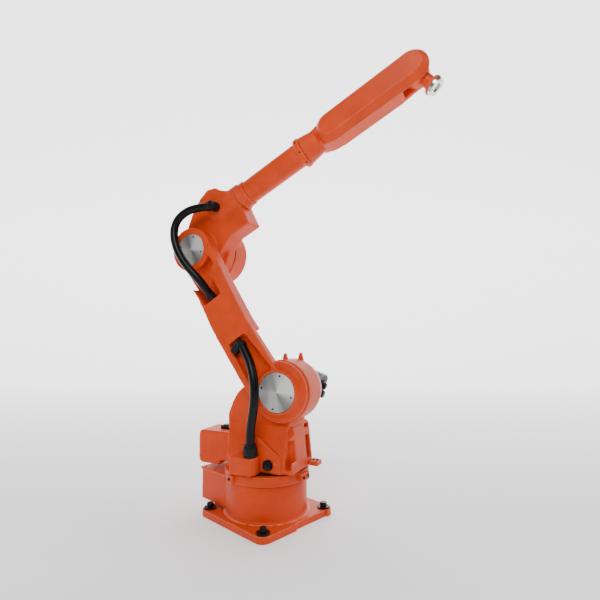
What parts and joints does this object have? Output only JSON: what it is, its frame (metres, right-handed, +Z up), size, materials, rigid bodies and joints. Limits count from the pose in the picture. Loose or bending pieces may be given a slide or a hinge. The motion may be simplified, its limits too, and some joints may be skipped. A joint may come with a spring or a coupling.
{
  "type": "six-axis industrial robot arm",
  "caption": "Floor-mounted articulated robot arm with a swivelling column, side-mounted lower arm, tubular forearm with a long belt cover, bent wrist and tool flange.",
  "frame": {"origin": "on the floor at the centre of the square base plate, under the swivel axis", "axes": "+Z up along the swivel axis, +X the way the base faces, away from its connector box, with the arm turned 19 degrees towards +Y at rest"},
  "size_m": [1.0745, 0.5358, 1.6376],
  "materials": {
    "bare_steel": "turned light grey steel",
    "black_paint": "black painted motor body",
    "black_plastic": "moulded black nylon",
    "black_rubber": "moulded rubber",
    "black_steel": "black oxide steel",
    "bright_steel": "ground and plated steel",
    "hose": "ribbed black polyamide conduit",
    "orange_paint": "satin powder-coated casting, orange"
  },
  "bodies": {
    "base": {"base_plate": "orange_paint", "anchor_bolts": "black_steel", "pedestal": "orange_paint", "bearing_ring": "orange_paint", "connector_box": "orange_paint", "connector_box_lid": "orange_paint", "power_socket": "black_plastic", "signal_socket": "black_plastic", "swivel_stop_left": "orange_paint", "swivel_stop_right": "orange_paint"},
    "column": {"turntable": "orange_paint", "column_casting": "orange_paint", "slew_motor_cover": "orange_paint", "slew_motor_connector": "black_plastic", "junction_box": "orange_paint", "lower_hose_gland": "black_plastic", "wall_plug": "black_rubber", "lifting_lugs": "orange_paint", "swivel_stop_tab": "orange_paint", "shoulder_motor_flange": "orange_paint", "shoulder_motor": "black_paint", "shoulder_motor_connector": "black_plastic", "lower_hose": "hose"},
    "lower_arm": {"lower_arm_casting": "orange_paint", "shoulder_disc": "bare_steel", "elbow_disc": "bare_steel", "lower_channel_gland": "black_plastic", "upper_channel_gland": "black_plastic", "upper_hose": "hose"},
    "elbow": {"elbow_casting": "orange_paint", "elbow_drum": "orange_paint", "elbow_motor": "black_paint", "roll_motor": "black_paint", "roll_bearing_housing": "orange_paint", "upper_hose_gland": "black_plastic"},
    "forearm": {"forearm_tube": "orange_paint", "forearm_collar": "orange_paint", "fork_housing": "orange_paint", "belt_cover": "orange_paint", "wrist_bearing_cap": "orange_paint"},
    "wrist": {"wrist_housing": "orange_paint"},
    "tool": {"tool_flange": "bright_steel"}
  },
  "joints": [
    {"name": "swivel", "type": "hinge", "parent": "base", "child": "column", "pos_m": [0, 0, 0.18], "axis": [0, 0, 1], "range_deg": [-185, 150]},
    {"name": "shoulder", "type": "hinge", "parent": "column", "child": "lower_arm", "pos_m": [0.09455, 0.03256, 0.471], "axis": [-0.3256, 0.9455, 0], "range_deg": [-40, 125], "deforming": ["lower_hose"]},
    {"name": "elbow", "type": "hinge", "parent": "lower_arm", "child": "elbow", "pos_m": [-0.28428, -0.09789, 1.01049], "axis": [0.3256, -0.9455, 0], "range_deg": [-65, 90], "deforming": ["upper_hose"]},
    {"name": "forearm_roll", "type": "hinge", "parent": "elbow", "child": "forearm", "pos_m": [-0.33096, -0.11396, 1.10655], "axis": [0.841, 0.2896, 0.4571], "range_deg": [-175, 175]},
    {"name": "wrist_bend", "type": "hinge", "parent": "forearm", "child": "wrist", "pos_m": [0.53943, 0.18574, 1.57965], "axis": [0.3256, -0.9455, 0], "range_deg": [-45, 185]},
    {"name": "flange_turn", "type": "hinge", "parent": "wrist", "child": "tool", "pos_m": [0.61062, 0.21025, 1.50222], "axis": [0.6592, 0.227, -0.7169], "range_deg": [-360, 360]}
  ]
}
